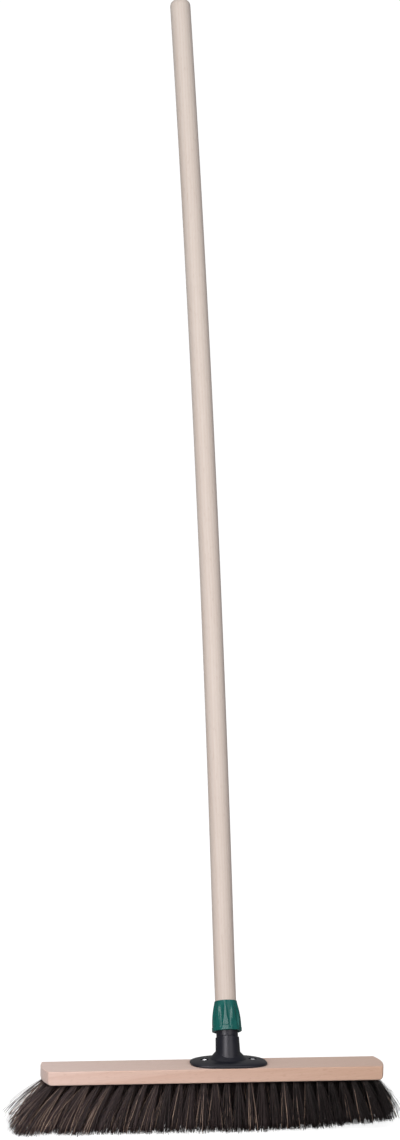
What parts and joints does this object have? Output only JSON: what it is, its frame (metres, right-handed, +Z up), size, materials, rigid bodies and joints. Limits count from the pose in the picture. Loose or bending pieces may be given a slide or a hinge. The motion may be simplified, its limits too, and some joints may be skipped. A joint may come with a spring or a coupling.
{
  "type": "wide floor broom",
  "caption": "Wide floor broom: wooden block with a dense bristle field, angled handle socket with a fluted clamping nut, and a long round wooden handle.",
  "frame": {"origin": "on the bristle tips, under the middle of the block", "axes": "+X along the block to the viewer's right, +Y backwards, the way the handle leans, +Z up"},
  "size_m": [0.4582, 0.5364, 1.3006],
  "materials": {
    "block_wood": "planed beech, oiled",
    "handle_wood": "turned and sanded, bare",
    "bristle": "dull natural hair",
    "socket_plastic": "satin moulding",
    "nut_plastic": "satin moulding",
    "screw_steel": "bright zinc"
  },
  "bodies": {
    "head": {"broom_block": "block_wood", "bristle_row_1": "bristle", "bristle_row_2": "bristle", "bristle_row_3": "bristle", "bristle_row_4": "bristle", "bristle_row_5": "bristle", "handle_socket": "socket_plastic", "flange_screw_left": "screw_steel", "flange_screw_right": "screw_steel"},
    "nut": {"clamp_nut": "nut_plastic"},
    "handle": {"handle": "handle_wood"}
  },
  "joints": [
    {"name": "nut_turn", "type": "hinge", "parent": "head", "child": "nut", "pos_m": [0.019, 0.02098, 0.12742], "axis": [0, 0.3746, 0.9272], "range_deg": [0, 450]},
    {"name": "handle_pull", "type": "slide", "parent": "head", "child": "handle", "axis": [0, 0.3746, 0.9272], "range_m": [0, 0.06]}
  ]
}
